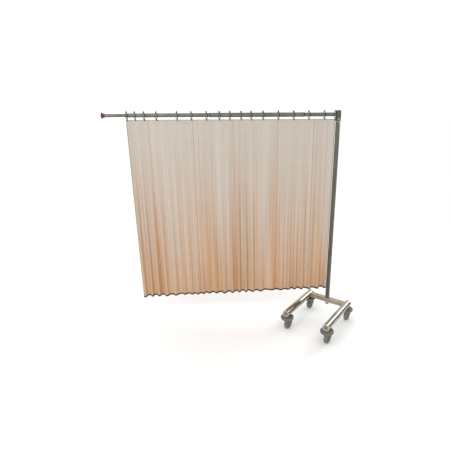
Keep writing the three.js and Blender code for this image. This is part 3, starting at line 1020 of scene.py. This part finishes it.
    def lock_knob(self) -> None:
        """The fluted thumb screw on the head."""
        low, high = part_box("lock_knob")
        middle = self.frame.middle("lock_knob")
        radius, length = (high.z - low.z) / 2, 10 * MM
        steps = 96
        bevel, flute, flutes = 0.8 * MM, 0.45 * MM, 12
        rows = [(0.86, 0.0), (1.0, bevel), (1.0, length - bevel), (0.84, length), (0.3, length - bevel)]
        verts: list[Vector] = [Vector((0, 0, 0))]
        for share, height in rows:
            for i in range(steps):
                angle = 2 * math.pi * i / steps
                r = (radius - flute + flute * math.cos(flutes * angle)) * share
                verts.append(Vector((r * math.cos(angle), r * math.sin(angle), height)))
        verts.append(Vector((0, 0, length - bevel)))
        faces = [(0, 1 + (i + 1) % steps, 1 + i) for i in range(steps)]
        for row in range(len(rows) - 1):
            start = 1 + row * steps
            for i in range(steps):
                ahead = (i + 1) % steps
                faces.append((start + i, start + ahead, start + steps + ahead, start + steps + i))
        last = 1 + (len(rows) - 1) * steps
        faces += [(last + i, last + (i + 1) % steps, len(verts) - 1) for i in range(steps)]
        shank = lathe([(0.0, -12 * MM), (3 * MM, -12 * MM), (3 * MM, 1 * MM), (0.0, 1 * MM)], 24)
        seat = Matrix.Translation((middle.x, low.y + length, middle.z))
        matrix = seat @ Matrix.Rotation(math.pi / 2, 4, "X")
        part = moved(merged((verts, faces), shank), matrix)
        self.put("lock_knob_fine", "lock_knob", part, Finish.zinc, "lock")

    def build(self) -> None:
        """Makes every turned piece."""
        self.end_knob()
        self.head_cap()
        self.mast_bolt()
        self.leg_plugs()
        self.lock_knob()


# ---- casters -------------------------------------------------------------------------------------
@dataclass
class Caster:
    """One caster: hooded housing, wheel with a tread and a hub, and brake pedal.

    Attributes:
        corner: which leg end it is under.
        cap: radius of the hood.
        bell: how far the hood draws in below its widest part.
        rim: height of the hood's edge.
        under: height of the hood's underside.
        top: height of the hood's top.
        wheel: radius of the wheel.
        width: width of the wheel.
        cheek_gap: room between the wheel and a cheek.
        cheek: thickness of a cheek.
        pedal_back: distance from the swivel to the pedal's pivot.
        pedal_high: height of that pivot.
        pedal_width: width of the pedal.
        place: from the caster's own axes to the frame's.
        trail: how far the wheel trails behind the swivel.
    """

    frame: Frame
    corner: str
    cap: float = 56 * MM
    bell: float = 12 * MM
    rim: float = 96 * MM
    under: float = 111 * MM
    top: float = 127 * MM
    wheel: float = 50 * MM
    width: float = 28 * MM
    cheek_gap: float = 3.5 * MM
    cheek: float = 4 * MM
    pedal_back: float = 44 * MM
    pedal_high: float = 117 * MM
    pedal_width: float = 30 * MM
    place: Matrix = field(init=False)
    trail: float = field(init=False)

    def __post_init__(self) -> None:
        """Works out the caster's own axes: +X the way its wheel trails, +Z up, the floor at 0."""
        swivel = self.frame.joint("caster_swivel_" + self.corner)
        wheel = self.frame.joint("wheel_spin_" + self.corner)
        back = Vector((wheel.x - swivel.x, wheel.y - swivel.y, 0.0))
        self.trail = back.length
        back.normalize()
        left = Vector((0, 0, 1)).cross(back)
        turn = Matrix((back, left, Vector((0, 0, 1)))).transposed().to_4x4()
        self.place = Matrix.Translation((swivel.x, swivel.y, 0.0)) @ turn

    def housing(self) -> None:
        """The hood with a notch for the pedal, its two cheeks and a boss at each end of the axle."""
        dome = [(self.cap - 16 * MM + 16 * MM * math.cos(a), self.top - 8 * MM + 8 * MM * math.sin(a))
                for a in np.linspace(0.0, math.pi / 2, 10)]
        edge = self.cap - self.bell
        profile = [
            (6.3 * MM, self.under + 4.8 * MM), (10.3 * MM, self.under + 4.8 * MM), (10.3 * MM, self.under),
            (edge - 5 * MM, self.under), (edge - 4 * MM, self.rim + 0.6 * MM), (edge - 3.4 * MM, self.rim),
            (edge - 0.8 * MM, self.rim), (edge + 0.6 * MM, self.rim + 1.4 * MM),
            (edge + 4 * MM, self.rim + 4.5 * MM), (self.cap - 2.4 * MM, self.rim + self.bell - 1.5 * MM),
            (self.cap - 0.6 * MM, self.rim + self.bell + 2 * MM), *dome,
            (24 * MM, self.top), (23 * MM, self.top - 0.8 * MM), (20.5 * MM, self.top - 0.8 * MM),
            (19.5 * MM, self.top), (6.3 * MM, self.top), (6.3 * MM, self.under + 4.8 * MM),
        ]
        hood = mesh_object("caster_hood_" + self.corner, *lathe(profile, 96), Finish.caster_plastic)
        outward(hood)
        slot_half = self.pedal_width / 2 + 0.3 * MM
        back = self.pedal_back - 7 * MM
        slot = plate(
            [(back, 85 * MM), (back + 40 * MM, 85 * MM), (back + 40 * MM, 150 * MM), (back, 150 * MM)],
            -slot_half, slot_half,
        )
        carve(hood, slot)
        outline = [(-12 * MM, self.under + 2 * MM), (-12 * MM, self.rim)]
        outline += circle((self.trail, self.wheel), 11 * MM, 180, 360, 18)
        outline += [(34 * MM, self.rim), (34 * MM, self.under + 2 * MM)]
        inside = self.width / 2 + self.cheek_gap
        cheeks = []
        for side in (-1, 1):
            low, high = sorted((side * inside, side * (inside + self.cheek)))
            cheeks.append(plate(outline, low, high))
            outside = inside + self.cheek
            boss_low, boss_high = sorted((side * outside, side * (outside + 1.2 * MM)))
            boss = circle((self.trail, self.wheel), 9 * MM, 0, 345, 23)
            cheeks.append(plate(boss, boss_low, boss_high))
        fork = mesh_object("fork", *merged(*cheeks), Finish.caster_plastic)
        outward(fork)
        bore = lathe([(0, -40 * MM), (4.3 * MM, -40 * MM), (4.3 * MM, 40 * MM), (0, 40 * MM)], 24)
        across = Matrix.Translation((self.trail, 0, self.wheel)) @ Matrix.Rotation(math.pi / 2, 4, "X")
        carve(fork, moved(bore, across))
        work = bmesh.new()
        work.from_mesh(hood.data)
        work.from_mesh(fork.data)
        work.to_mesh(hood.data)
        work.free()
        bpy.data.objects.remove(fork)
        hood.data.transform(self.place)
        hood.data.polygons.foreach_set("use_smooth", [True] * len(hood.data.polygons))
        soften(hood, 0.7 * MM, 38.0, 2)
        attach(hood, "caster_" + self.corner)
        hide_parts("caster_housing_" + self.corner)

    def roller(self) -> None:
        """The wheel: a grooved tread, a dished face with spokes, and a hub."""
        half = self.width / 2
        side = [
            (4.3 * MM, half - 0.2 * MM), (13 * MM, half - 0.2 * MM), (14.5 * MM, half - 3.2 * MM),
            (32 * MM, half - 4 * MM), (35 * MM, half - 1 * MM), (40 * MM, half - 0.6 * MM),
            (41 * MM, half - 1.4 * MM), (45.5 * MM, half - 2 * MM), (self.wheel - 1.2 * MM, half - 4.5 * MM),
            (self.wheel, half - 8 * MM), (self.wheel, 1.4 * MM), (self.wheel - 0.7 * MM, 0.6 * MM),
        ]
        other = [(r, -h) for r, h in reversed(side)]
        rim = lathe(rounded(side + other + side[:1], 0.8 * MM, 2), 96)
        spokes = []
        count, root, tip = 5, 12 * MM, 34.5 * MM
        bar = [(root, -2.6 * MM), (tip, -1.8 * MM), (tip, 1.8 * MM), (root, 2.6 * MM)]
        faces = [(3, 2, 1, 0), (4, 5, 6, 7)]
        faces += [(k, (k + 1) % 4, 4 + (k + 1) % 4, 4 + k) for k in range(4)]
        for face in (-1, 1):
            low, high = sorted((face * (half - 5 * MM), face * (half - 1.2 * MM)))
            flat = [Vector((x, y, z)) for z in (low, high) for x, y in bar]
            for i in range(count):
                spokes.append(moved((flat, faces), Matrix.Rotation(2 * math.pi * i / count, 4, "Z")))
        across = Matrix.Translation((self.trail, 0, self.wheel)) @ Matrix.Rotation(math.pi / 2, 4, "X")
        part = moved(merged(rim, *spokes), self.place @ across)
        wheel = mesh_object("caster_roller_" + self.corner, *part, Finish.caster_wheel)
        outward(wheel)
        soften(wheel, 0.5 * MM, 40.0, 2)
        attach(wheel, "wheel_" + self.corner)
        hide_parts("caster_wheel_" + self.corner)

    def pedal(self) -> None:
        """The brake pedal: a wedge that lies in the hood's notch, with three grip ribs."""
        back, high, tip = self.pedal_back, self.pedal_high, 75 * MM
        outline = [
            (back - 5 * MM, high - 4 * MM), (back + 6 * MM, high - 8 * MM), (tip, high - 16 * MM),
            (tip + 1.2 * MM, high - 14.6 * MM), (tip + 1.2 * MM, high - 12.4 * MM), (tip, high - 11 * MM),
            (back + 9 * MM, high + 1 * MM), (back + 3 * MM, high + 3.4 * MM),
            (back - 2 * MM, high + 3.2 * MM), (back - 4.6 * MM, high + 0.6 * MM),
        ]
        half = self.pedal_width / 2
        wedge = plate(outline, -half, half)
        ribs = []
        slope = math.atan2(12 * MM, tip - back - 9 * MM)
        for i in range(3):
            along = 0.45 + 0.2 * i
            x = back + 9 * MM + (tip - back - 9 * MM) * along
            z = high + 1 * MM - 12 * MM * along
            rib = plate([(-1 * MM, -1 * MM), (1 * MM, -1 * MM), (0.7 * MM, 0.9 * MM), (-0.7 * MM, 0.9 * MM)],
                        -half + 3 * MM, half - 3 * MM)
            ribs.append(moved(rib, Matrix.Translation((x, 0, z)) @ Matrix.Rotation(slope, 4, "Y")))
        reach, pin_radius = half + 3 * MM, 2 * MM
        pin = lathe([(0, -reach), (pin_radius, -reach), (pin_radius, reach), (0, reach)], 16)
        across = Matrix.Translation((back, 0, high)) @ Matrix.Rotation(math.pi / 2, 4, "X")
        part = moved(merged(wedge, *ribs, moved(pin, across)), self.place)
        pedal = mesh_object("caster_pedal_" + self.corner, *part, Finish.caster_plastic)
        outward(pedal)
        soften(pedal, 0.6 * MM, 30.0, 2)
        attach(pedal, "pedal_" + self.corner)
        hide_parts("brake_pedal_" + self.corner)

    def build(self) -> None:
        """Makes the caster's three fine pieces."""
        self.housing()
        self.roller()
        self.pedal()
        LOG.info("made caster %s", self.corner)


# ---- rings ---------------------------------------------------------------------------------------
@dataclass
class CurtainRing:
    """One moulded ring with its latch and hook, and the eyelet in the cloth that the hook goes through.

    Attributes:
        number: 1 at the arm's tip, counting towards the mast.
        radius: of the ring's centre line.
        wire: half the ring's thickness.
        slack: how much of that is left off inside, so that the ring runs freely on the sleeve.
        latch: height of the latch above the ring's centre line.
        hook_from: angle between the ring's lowest point and the hook's root.
        drop: how far the hook hangs below its root.
        curl: how far its tip turns back, through the eyelet.
        web: half the thickness of the web that closes the ring below the arm.
        eyelet: radius of the eyelet.
        below: how far the eyelet's middle is below the cloth's upper edge.
    """

    frame: Frame
    number: int
    radius: float = 25 * MM
    wire: float = 2.5 * MM
    slack: float = 0.3 * MM
    latch: float = 10.5 * MM
    hook_from: float = math.radians(20)
    drop: float = 13 * MM
    curl: float = 9.6 * MM
    web: float = 4.4 * MM
    eyelet: float = 3.6 * MM
    below: float = 4.7 * MM

    @property
    def node(self) -> str:
        """The ring's node."""
        return f"ring_{self.number:02d}"

    def centre(self) -> Vector:
        """Finds the middle of the ring.

        Returns:
            The place, in metres.
        """
        low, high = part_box(self.node)
        middle = (low + high) / 2
        return Vector((middle.x, middle.y, high.z - self.radius - self.latch))

    def yaw(self) -> float:
        """Finds how far the ring is turned about the vertical.

        Returns:
            The angle, in radians.
        """
        low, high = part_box(self.node)
        share = ((high.y - low.y) / 2 - self.wire) / self.radius
        return math.acos(min(1.0, share))

    def crest(self) -> Part:
        """Makes the latch on top: a tapered tab with a rounded tip.

        Returns:
            Its vertices and faces.
        """
        foot, tip, low, high = 8 * MM, 3.5 * MM, self.radius, self.radius + self.latch
        outline = [(-foot, low), (foot, low), (0.7 * foot, low + 0.35 * self.latch)]
        outline += circle((0.0, high - tip), tip, 10, 170, 8)
        outline += [(-0.7 * foot, low + 0.35 * self.latch)]
        half = 5.0 * MM
        return moved(plate(outline, -half, half), Matrix.Rotation(math.pi / 2, 4, "Z"))

    def closing(self) -> Part:
        """Makes the web across the ring's lowest part, clear of the widest tube.

        Returns:
            Its vertices and faces.
        """
        chord = self.frame.size("arm_sleeve").z / 2 + 1.3 * MM
        side = math.degrees(math.asin(chord / self.radius))
        outline = circle((0.0, 0.0), self.radius, 180 + side, 360 - side, 14)
        return moved(plate(outline, -self.web, self.web), Matrix.Rotation(math.pi / 2, 4, "Z"))

    def root(self) -> Vector:
        """Finds where the hook leaves the ring.

        Returns:
            The place from the ring's middle.
        """
        turn = Matrix.Rotation(self.yaw(), 4, "Z")
        return turn @ Vector(
            (0.0, -self.radius * math.sin(self.hook_from), -self.radius * math.cos(self.hook_from))
        )

    def build(self, body: str) -> None:
        """Makes the ring, its hook and its eyelet.

        Args:
            body: the body that they ride on.
        """
        centre, turn = self.centre(), Matrix.Rotation(self.yaw(), 4, "Z")
        tilt = turn @ Matrix.Rotation(math.pi / 2, 4, "Y")
        loop = moved(torus(self.radius + self.slack, self.wire - self.slack), tilt)
        root = self.root()
        stations = [(0.0, 0.0), (0.0, 0.3), (0.0, 0.6), (0.04, 0.8), (0.16, 0.93), (0.45, 1.0), (0.8, 0.97),
                    (1.0, 0.9)]
        path = [root + Vector((0.0, inward * self.curl, -down * self.drop)) for inward, down in stations]
        radii = [4.2 * MM, 4.0 * MM, 3.6 * MM, 3.0 * MM, 2.2 * MM, 1.4 * MM, 1.1 * MM, 0.8 * MM]
        parts = merged(loop, moved(self.crest(), turn), moved(self.closing(), turn), sweep(path, radii, 12))
        parts = moved(parts, Matrix.Translation(centre))
        ring = mesh_object(f"curtain_{self.node}", *parts, Finish.ring_plastic)
        outward(ring)
        soften(ring, 0.4 * MM, 40.0, 2)
        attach(ring, body)
        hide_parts(self.node)
        place = Vector(((centre + root).x, self.frame.mast.y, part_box("curtain")[1].z - self.below))
        shape = moved(torus(self.eyelet, 0.9 * MM, 32, 10),
                      Matrix.Translation(place) @ Matrix.Rotation(math.pi / 2, 4, "X"))
        eyelet = mesh_object(f"eyelet_{self.number:02d}", *shape, Finish.zinc)
        outward(eyelet)
        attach(eyelet, body)


# ---- curtain -------------------------------------------------------------------------------------
@dataclass
class Curtain:
    """The hung cloth: fine gathers at the heading that open into deep folds at the hem.

    Distances along the cloth's width are counted from the mast, in millimetres, as its pleats are.

    Attributes:
        hooks: where the rings' hooks go through; the heading is flat there.
        pleat: mean width of one fold.
        top_depth: depth of the folds at the heading.
        hem_depth: depth of the folds at the hem.
        gather: distance between two gathers of the heading.
        gather_depth: depth of the gathers.
        columns: mesh steps across.
        rows: mesh steps down.
        seams: where two panels of cloth are sewn together.
        flat: the width and length that the cloth was cut to, in metres; not used.
        held: how far from each hook the heading is quite flat.
        binding_high: how far the binding reaches up from the hem.
        start: the cloth's end at the mast.
        end: its end at the arm's tip.
        top: height of its upper edge, in metres.
        hem: height of its lower edge at the mast and at the tip, in metres.
        sheet: the arrays that shape() gives.
    """

    frame: Frame
    hooks: tuple[float, ...]
    pleat: float = 68.0
    top_depth: float = 1.8
    hem_depth: float = 17.0
    gather: float = 15.0
    gather_depth: float = 1.3
    columns: int = 640
    rows: int = 96
    seams: tuple[float, ...] = (191.0, 483.0, 838.0, 1165.0, 1518.0)
    flat: tuple[float, float] = (2.33, 1.57)
    held: float = 12.0
    binding_high: float = 14.0
    start: float = field(init=False)
    end: float = field(init=False)
    top: float = field(init=False)
    hem: tuple[float, float] = field(init=False)
    sheet: dict[str, np.ndarray] = field(init=False)

    def __post_init__(self) -> None:
        """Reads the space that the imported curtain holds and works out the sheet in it."""
        low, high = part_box("curtain")
        mast = self.frame.mast
        self.start, self.end = (mast.x - high.x) / MM - 3.0, (mast.x - low.x) / MM
        self.top = high.z
        node = self.frame.node("curtain")
        corners = [node.matrix_world @ vert.co for vert in node.data.vertices]
        self.hem = tuple(
            min(c.z for c in corners if abs(c.x - side) < MM) for side in (high.x, low.x)
        )
        self.sheet = self.shape()

    def shape(self) -> dict[str, np.ndarray]:
        """Works out the sheet.

        Returns:
            Arrays of rows by columns: "x", "y" and "z" in metres, "fold" from 0 at the back of a fold
            to 1 at its front, "drop" from 0 at the heading to 1 at the hem, and the distance "s".
        """
        rng = np.random.default_rng(7)
        s = np.linspace(self.start, self.end, self.columns + 1)
        t = np.linspace(0.0, 1.0, self.rows + 1)[:, None]
        phase = s / self.pleat + 0.32 * np.sin(s / 173) + 0.21 * np.sin(s / 67 + 1.3)
        depth = 0.78 + 0.22 * np.sin(s / 118 + 0.7)
        knots = rng.uniform(0.05, 0.7, int(phase.max()) + 4)
        onset = np.interp(phase, np.arange(len(knots)), knots)
        rise = np.clip((t - onset) / (1.0 - onset), 0.0, 1.0) ** 1.1
        lean = np.interp(phase, np.arange(len(knots)), rng.uniform(-0.9, 0.9, len(knots)))
        turn = 2 * math.pi * phase
        wave = np.sin(turn + lean * np.sin(turn) + 0.35 * np.sin(2 * turn))
        folds = (self.top_depth + (self.hem_depth - self.top_depth) * rise) * depth * wave
        tuck_phase = s / self.gather + 0.5 * np.sin(s / 53) + 0.35 * np.sin(s / 19)
        tuck_size = 0.65 + 0.35 * np.sin(s / 37 + 2.1)
        fade = (1.0 - t) ** 1.4
        tucks = self.gather_depth * tuck_size * np.sin(2 * math.pi * tuck_phase) * (0.18 + 0.82 * fade)
        near = np.min([np.abs(s - hook) for hook in self.hooks], axis=0)
        held = (1.0 - np.clip((near - self.held) / 8.0, 0.0, 1.0)) * np.clip(1.6 - t / 0.012, 0.0, 1.0)
        y = (folds + tucks) * (1.0 - held)
        sag = 1.2 * np.sin(2 * math.pi * s / 97) ** 2 * (1 - t)
        lift = 2.2 * np.sin(2 * math.pi * s / 260 + 1.0) * t
        hem = np.interp(s, [self.start, self.end], self.hem)
        z = self.top + (hem - self.top) * t + (lift - sag) * MM
        x = self.frame.mast.x - s * MM + 2.2 * MM * np.cos(turn) * rise
        fold = np.clip(0.5 - 0.5 * folds / self.hem_depth, 0.0, 1.0)
        spread = np.zeros_like(y)
        return {"x": x, "y": self.frame.mast.y + y * MM, "z": z, "fold": fold,
                "drop": spread + t, "s": spread + s}

    def build(self) -> None:
        """Makes the cloth and its bound hem."""
        sheet = self.sheet
        count = self.columns + 1
        points = np.stack([sheet["x"], sheet["y"], sheet["z"]], axis=-1)
        verts = points.reshape(-1, 3)
        grid = np.arange(len(verts)).reshape(-1, count)
        faces = np.stack([grid[:-1, :-1], grid[1:, :-1], grid[1:, 1:], grid[:-1, 1:]], axis=-1).reshape(-1, 4)
        cloth = mesh_object("curtain_cloth", verts, faces.tolist(), Finish.curtain_cloth)
        step = np.linalg.norm(np.diff(points, axis=1), axis=2)
        along = np.concatenate([np.zeros((len(points), 1)), np.cumsum(step, axis=1)], axis=1)
        flat = np.stack([sheet["s"] * MM, self.top - sheet["z"], 0 * along], axis=-1)
        self.attribute(cloth, "flat", "FLOAT_VECTOR", flat.reshape(-1))
        self.attribute(cloth, "fold", "FLOAT", sheet["fold"].reshape(-1))
        self.attribute(cloth, "drop", "FLOAT", sheet["drop"].reshape(-1))
        near = np.min([np.abs(sheet["s"] - place) for place in self.seams], axis=0)
        self.attribute(cloth, "seam", "FLOAT", np.clip(1.4 - near / 4.5, 0.0, 1.0).reshape(-1))
        inside = np.minimum(sheet["s"] - self.start, self.end - sheet["s"])
        self.attribute(cloth, "edge", "FLOAT", np.clip((7.0 - inside) / 3.0, 0.0, 1.0).reshape(-1))
        thick = cloth.modifiers.new("cloth", "SOLIDIFY")
        thick.thickness = 0.9 * MM
        thick.offset = 0.0
        width = float(along[:, -1].mean())
        LOG.info("curtain: %.3f m of cloth across, at the hem %.3f m", width, float(along[-1, -1]))
        binding = self.binding(points[-1])
        anchor = tuple(self.frame.middle("ring_17"))
        couplings = self.frame.data["record"]["behaviour"]["couplings"]
        lead = next(j for j in couplings if j["joint"] == "ring_slide_01")
        drive = next(j for j in self.frame.data["joints"] if j["name"] == lead["follows"])
        travel = lead["ratio"] * drive["range_m"][1]
        span = self.frame.middle("ring_17").x - self.frame.middle("ring_01").x
        for obj in (cloth, binding):
            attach(obj, "head")
            1 - travel / span
            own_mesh(obj)
        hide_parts("curtain")

    def attribute(self, obj: bpy.types.Object, name: str, kind: str, values: np.ndarray) -> None:
        """Stores one value for each corner of the sheet."""
        data = obj.data.attributes.new(name, kind, "POINT")
        data.data.foreach_set("vector" if kind == "FLOAT_VECTOR" else "value", values.astype(np.float32))

    def binding(self, line: np.ndarray) -> bpy.types.Object:
        """The dark binding round the hem.

        Args:
            line: the hem's points.

        Returns:
            The binding.
        """
        ahead = np.gradient(line, axis=0)
        ahead[:, 2] = 0.0
        ahead /= np.linalg.norm(ahead, axis=1)[:, None]
        side = np.stack([-ahead[:, 1], ahead[:, 0], 0.0 * ahead[:, 0]], axis=1)
        high = self.binding_high
        around = [(-1.3, 0.4), (-1.5, 1.4), (-1.3, high), (1.3, high), (1.5, 1.4), (1.3, 0.4), (0.0, -0.4)]
        above = np.array([0.0, 0.0, MM])
        rows = np.stack([line + side * (out * MM) + above * up for out, up in around], axis=1)
        size, count = len(around), len(line)
        faces = [tuple(range(size)), tuple((count - 1) * size + i for i in reversed(range(size)))]
        for i in range(count - 1):
            for k in range(size):
                k2 = (k + 1) % size
                faces.append((i * size + k, i * size + k2, (i + 1) * size + k2, (i + 1) * size + k))
        obj = mesh_object("hem_binding", rows.reshape(-1, 3), faces, Finish.binding)
        outward(obj)
        return obj


def main() -> None:
    """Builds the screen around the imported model."""
    logging.basicConfig(level=logging.INFO, format="%(name)s: %(message)s")
    frame = Frame(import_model())
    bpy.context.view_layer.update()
    Studio(frame).build()
    KeptPieces(frame).build()
    TurnedPieces(frame).build()
    for corner in CORNERS:
        Caster(frame, corner).build()
    rings = [CurtainRing(frame, number) for number in range(1, 18)]
    for ring in rings:
        ring.build("head" if ring is rings[-1] else ring.node)
    Curtain(frame, tuple((frame.mast.x - (ring.centre() + ring.root()).x) / MM for ring in rings)).build()


if __name__ == "__main__":
    main()
